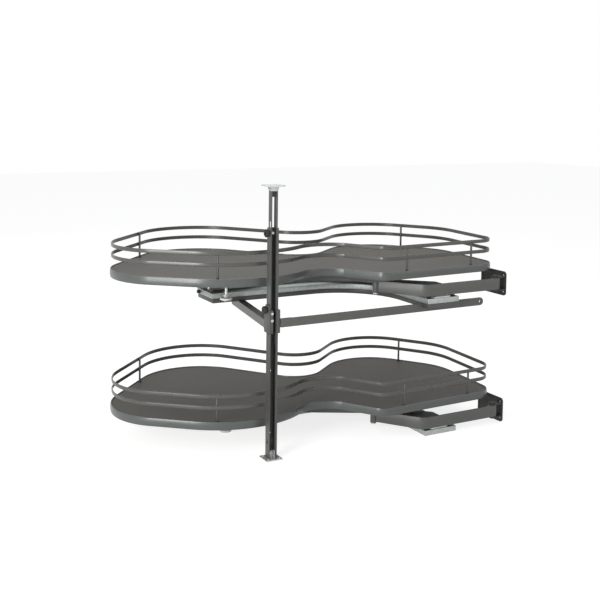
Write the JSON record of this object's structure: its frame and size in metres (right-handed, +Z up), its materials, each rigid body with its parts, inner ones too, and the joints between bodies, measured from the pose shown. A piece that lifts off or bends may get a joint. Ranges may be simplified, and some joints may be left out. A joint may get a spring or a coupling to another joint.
{
  "type": "blind corner swing-out organiser",
  "caption": "Blind-corner cabinet fitting: a floor-to-top post and peanut-shaped railed trays on hinged swing arms that run in curved channels.",
  "frame": {"origin": "on the floor, on the axis of the post", "axes": "+X from the post toward the wall plates, +Y back into the blind corner, +Z up"},
  "size_m": [0.8771, 0.536, 0.59],
  "materials": {
    "dark_steel": "satin anthracite powder coat",
    "plate_steel": "satin black-grey powder coat",
    "rim_band": "satin grey-green coat",
    "deck_board": "matt warm grey laminate",
    "bright_steel": "zinc-plated sheet",
    "zinc_plate": "pale zinc",
    "black_plastic": "matt",
    "nylon": "off-white nylon"
  },
  "bodies": {
    "frame": {"foot_bracket": "zinc_plate", "post_lower_channel": "dark_steel", "post_lock_knob": "black_plastic", "post_lock_screw": "bright_steel", "clamp_collar": "dark_steel", "clamp_knob": "black_plastic", "clamp_screws": "bright_steel", "right_support_brace": "dark_steel", "brace_screws": "bright_steel", "left_support_arm": "dark_steel", "upper_track_base": "dark_steel", "upper_track_screws": "bright_steel", "lower_track": "bright_steel", "lower_track_end_plate": "bright_steel", "lower_track_stop": "bright_steel", "lower_track_bumpers": "black_plastic", "lower_wall_plate": "plate_steel", "lower_wall_pin": "bright_steel", "upper_track": "bright_steel", "upper_track_end_plate": "bright_steel", "upper_track_stop": "bright_steel", "upper_track_bumpers": "black_plastic", "upper_wall_plate": "plate_steel", "upper_wall_pin": "bright_steel"},
    "post_top": {"post_upper_channel": "dark_steel", "post_top_bracket": "zinc_plate", "post_slot_block": "black_plastic"},
    "lower_arm": {"lower_swing_arm": "dark_steel", "lower_arm_gusset": "dark_steel", "lower_pivot_pin": "bright_steel"},
    "lower_tray": {"lower_deck": "deck_board", "lower_rim": "rim_band", "lower_top_rail": "dark_steel", "lower_mid_rail": "dark_steel", "lower_rail_rods": "dark_steel", "lower_rod_collars": "black_plastic", "lower_carrier": "dark_steel", "lower_guide_bolt": "bright_steel", "lower_roller_stem": "bright_steel"},
    "lower_disc": {"lower_guide_roller": "nylon"},
    "lower_wheel": {"lower_track_roller": "nylon"},
    "upper_arm": {"upper_swing_arm": "dark_steel", "upper_arm_gusset": "dark_steel", "upper_pivot_pin": "bright_steel"},
    "upper_tray": {"upper_deck": "deck_board", "upper_rim": "rim_band", "upper_top_rail": "dark_steel", "upper_mid_rail": "dark_steel", "upper_rail_rods": "dark_steel", "upper_rod_collars": "black_plastic", "upper_carrier": "dark_steel", "upper_guide_bolt": "bright_steel", "upper_roller_stem": "bright_steel"},
    "upper_disc": {"upper_guide_roller": "nylon"},
    "upper_wheel": {"upper_track_roller": "nylon"}
  },
  "joints": [
    {"name": "post_extension", "type": "slide", "parent": "frame", "child": "post_top", "axis": [0, 0, 1], "range_m": [-0.02, 0.15]},
    {"name": "lower_arm_swing", "type": "hinge", "parent": "frame", "child": "lower_arm", "pos_m": [0.577, -0.036, 0.0335], "axis": [0, 0, 1], "range_deg": [0, 50]},
    {"name": "lower_tray_turn", "type": "hinge", "parent": "lower_arm", "child": "lower_tray", "pos_m": [0.298, 0.056, 0.055], "axis": [0, 0, 1], "range_deg": [-110, 0]},
    {"name": "lower_disc_spin", "type": "hinge", "parent": "lower_tray", "child": "lower_disc", "pos_m": [-0.019, 0.196, 0.0055], "axis": [0, 0, 1], "continuous": true},
    {"name": "lower_wheel_spin", "type": "hinge", "parent": "lower_tray", "child": "lower_wheel", "pos_m": [-0.021, 0.289, 0.0075], "axis": [0, 0, 1], "continuous": true},
    {"name": "upper_arm_swing", "type": "hinge", "parent": "frame", "child": "upper_arm", "pos_m": [0.577, -0.036, 0.3415], "axis": [0, 0, 1], "range_deg": [0, 50]},
    {"name": "upper_tray_turn", "type": "hinge", "parent": "upper_arm", "child": "upper_tray", "pos_m": [0.298, 0.056, 0.363], "axis": [0, 0, 1], "range_deg": [-110, 0]},
    {"name": "upper_disc_spin", "type": "hinge", "parent": "upper_tray", "child": "upper_disc", "pos_m": [-0.019, 0.196, 0.3135], "axis": [0, 0, 1], "continuous": true},
    {"name": "upper_wheel_spin", "type": "hinge", "parent": "upper_tray", "child": "upper_wheel", "pos_m": [-0.021, 0.289, 0.3155], "axis": [0, 0, 1], "continuous": true}
  ],
  "couplings": [
    {"joint": "lower_tray_turn", "follows": "lower_arm_swing", "ratio": -2.2},
    {"joint": "upper_tray_turn", "follows": "upper_arm_swing", "ratio": -2.2}
  ]
}
